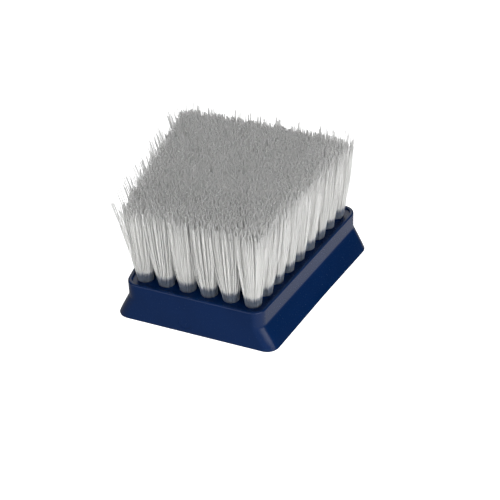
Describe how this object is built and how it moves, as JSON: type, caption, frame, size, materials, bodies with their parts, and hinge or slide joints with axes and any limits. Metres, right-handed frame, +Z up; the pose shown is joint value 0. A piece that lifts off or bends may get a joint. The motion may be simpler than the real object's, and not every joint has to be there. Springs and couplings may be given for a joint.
{
  "type": "soldering tip cleaning brush",
  "caption": "Slide-in brush for cleaning soldering tips: a tapered plastic block with flared skirts, filled with white nylon tufts trimmed flat.",
  "frame": {"origin": "middle of the underside, on the plane of symmetry and half way along the block", "axes": "+Z up out of the underside along the bristles; +Y from the narrow end to the wide end; +X across the rows"},
  "size_m": [0.0476, 0.0444, 0.0284],
  "materials": {
    "moulded_plastic": "dark blue injection-moulded plastic with a satin sheen",
    "nylon_filament": "translucent white nylon filament, cut ends",
    "anchor_wire": "flat drawn anchor wire"
  },
  "bodies": {
    "root": {"brush_block": "moulded_plastic", "row_1_inner_tufts": "nylon_filament", "row_1_middle_tufts": "nylon_filament", "row_1_outer_tufts": "nylon_filament", "row_2_centre_tufts": "nylon_filament", "row_2_inner_tufts": "nylon_filament", "row_2_middle_tufts": "nylon_filament", "row_2_outer_tufts": "nylon_filament", "row_3_centre_tufts": "nylon_filament", "row_3_inner_tufts": "nylon_filament", "row_3_middle_tufts": "nylon_filament", "row_3_outer_tufts": "nylon_filament", "row_4_centre_tufts": "nylon_filament", "row_4_inner_tufts": "nylon_filament", "row_4_middle_tufts": "nylon_filament", "row_4_outer_tufts": "nylon_filament", "row_5_centre_tufts": "nylon_filament", "row_5_inner_tufts": "nylon_filament", "row_5_middle_tufts": "nylon_filament", "row_5_outer_tufts": "nylon_filament", "row_6_centre_tufts": "nylon_filament", "row_6_inner_tufts": "nylon_filament", "row_6_middle_tufts": "nylon_filament", "row_6_outer_tufts": "nylon_filament", "row_7_centre_tufts": "nylon_filament", "row_7_inner_tufts": "nylon_filament", "row_7_middle_tufts": "nylon_filament", "row_7_outer_tufts": "nylon_filament", "row_8_centre_tufts": "nylon_filament", "row_8_inner_tufts": "nylon_filament", "row_8_middle_tufts": "nylon_filament", "row_8_outer_tufts": "nylon_filament", "row_9_centre_tufts": "nylon_filament", "row_9_inner_tufts": "nylon_filament", "row_9_middle_tufts": "nylon_filament", "row_9_outer_tufts": "nylon_filament", "row_1_anchors": "anchor_wire", "row_2_anchors": "anchor_wire", "row_3_anchors": "anchor_wire", "row_4_anchors": "anchor_wire", "row_5_anchors": "anchor_wire", "row_6_anchors": "anchor_wire", "row_7_anchors": "anchor_wire", "row_8_anchors": "anchor_wire", "row_9_anchors": "anchor_wire"}
  },
  "joints": []
}
